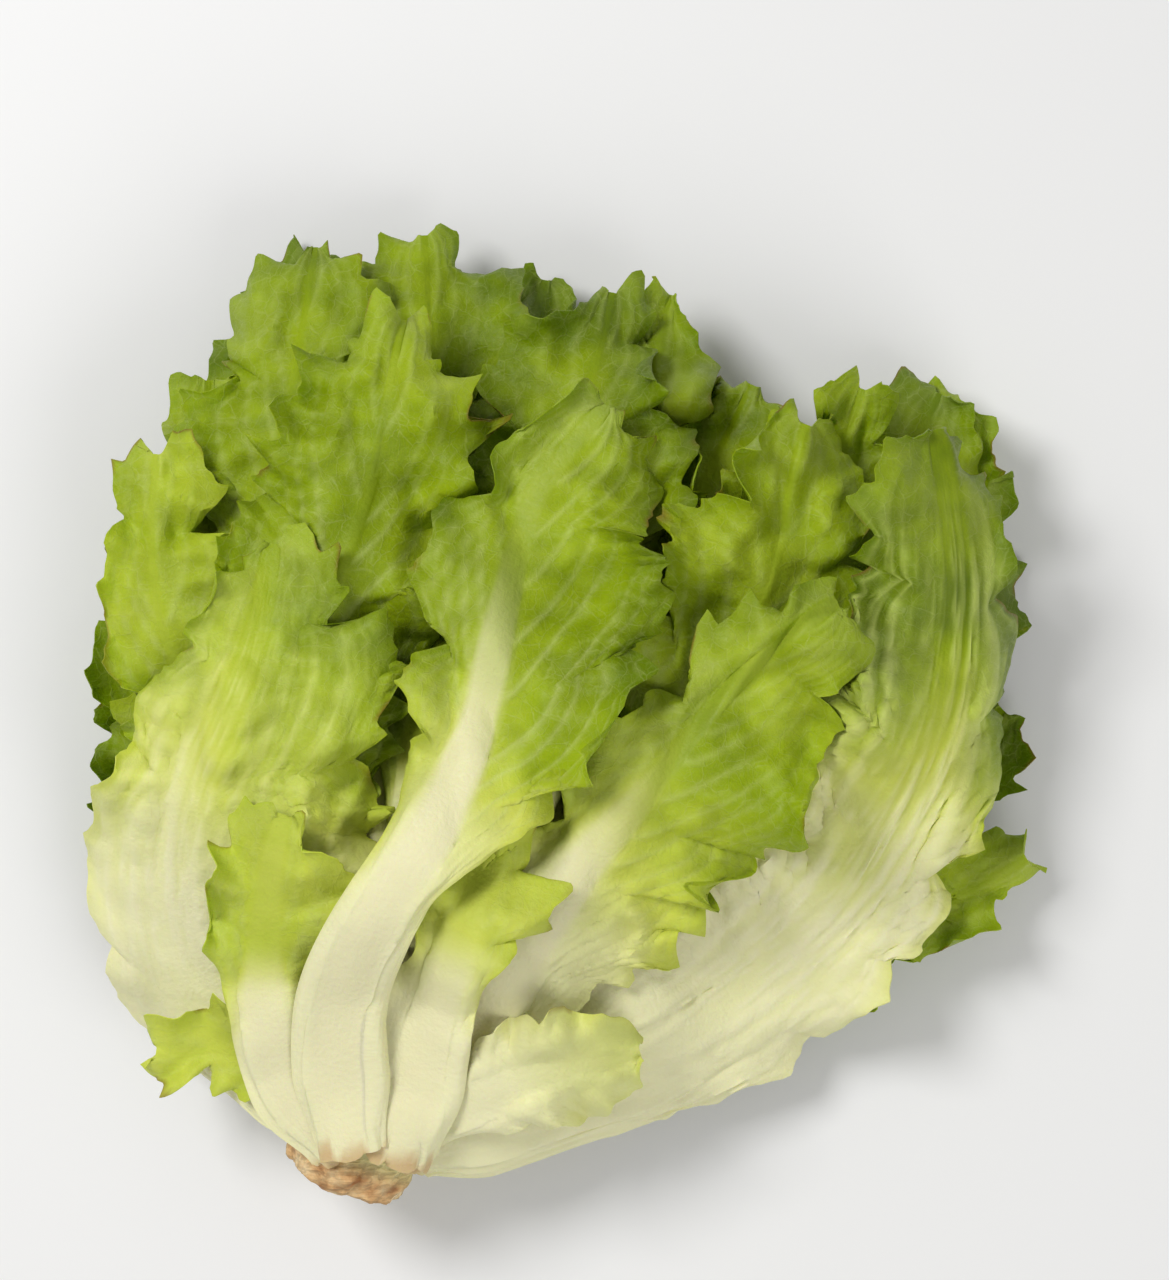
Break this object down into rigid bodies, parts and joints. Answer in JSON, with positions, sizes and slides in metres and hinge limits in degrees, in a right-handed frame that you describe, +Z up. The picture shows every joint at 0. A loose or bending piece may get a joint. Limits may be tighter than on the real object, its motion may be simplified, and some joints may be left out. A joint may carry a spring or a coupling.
{
  "type": "endive head",
  "caption": "Picked head of broad-leaved endive lying on its side, with overlapping toothed and waved leaves that fan out from a cut crown.",
  "frame": {"origin": "centre of the bounding box in plan, on the surface that the head lies on", "axes": "+Z up from the surface; +Y from the cut crown towards the leaf tips; +X to the right when the crown is nearest and the head is seen from above"},
  "size_m": [0.2006, 0.2074, 0.076],
  "materials": {
    "leaf": "soft satin leaf, cream at the rib and green at the tip",
    "crown": "rough cut, browned"
  },
  "bodies": {
    "root": {"crown": "crown", "leaf_under_left": "leaf", "leaf_under_right": "leaf", "leaf_under_middle": "leaf", "leaf_under_top_left": "leaf", "leaf_under_top_right": "leaf", "leaf_under_side": "leaf", "leaf_under_low_left": "leaf", "leaf_under_far_right": "leaf", "leaf_low_top_middle": "leaf", "leaf_low_left": "leaf", "leaf_low_right": "leaf", "leaf_mid_top_middle": "leaf", "leaf_mid_top_left": "leaf", "leaf_mid_far_right": "leaf", "leaf_mid_side": "leaf", "leaf_mid_left": "leaf", "leaf_mid_top_right": "leaf", "leaf_mid_curl_left": "leaf", "leaf_heart_a": "leaf", "leaf_heart_b": "leaf", "leaf_heart_c": "leaf", "leaf_heart_d": "leaf", "leaf_heart_e": "leaf", "leaf_top_centre_back": "leaf", "leaf_top_narrow": "leaf", "leaf_top_left_back": "leaf", "leaf_top_right_back": "leaf", "leaf_top_middle": "leaf", "leaf_top_left": "leaf", "leaf_top_right_front": "leaf", "leaf_flat_left": "leaf", "leaf_wide_right": "leaf", "leaf_lean_right": "leaf", "leaf_round_fold": "leaf", "leaf_curl_low": "leaf", "leaf_fan_left": "leaf", "leaf_stalk_left": "leaf", "leaf_stalk_centre": "leaf", "leaf_rib_centre": "leaf"}
  },
  "joints": []
}
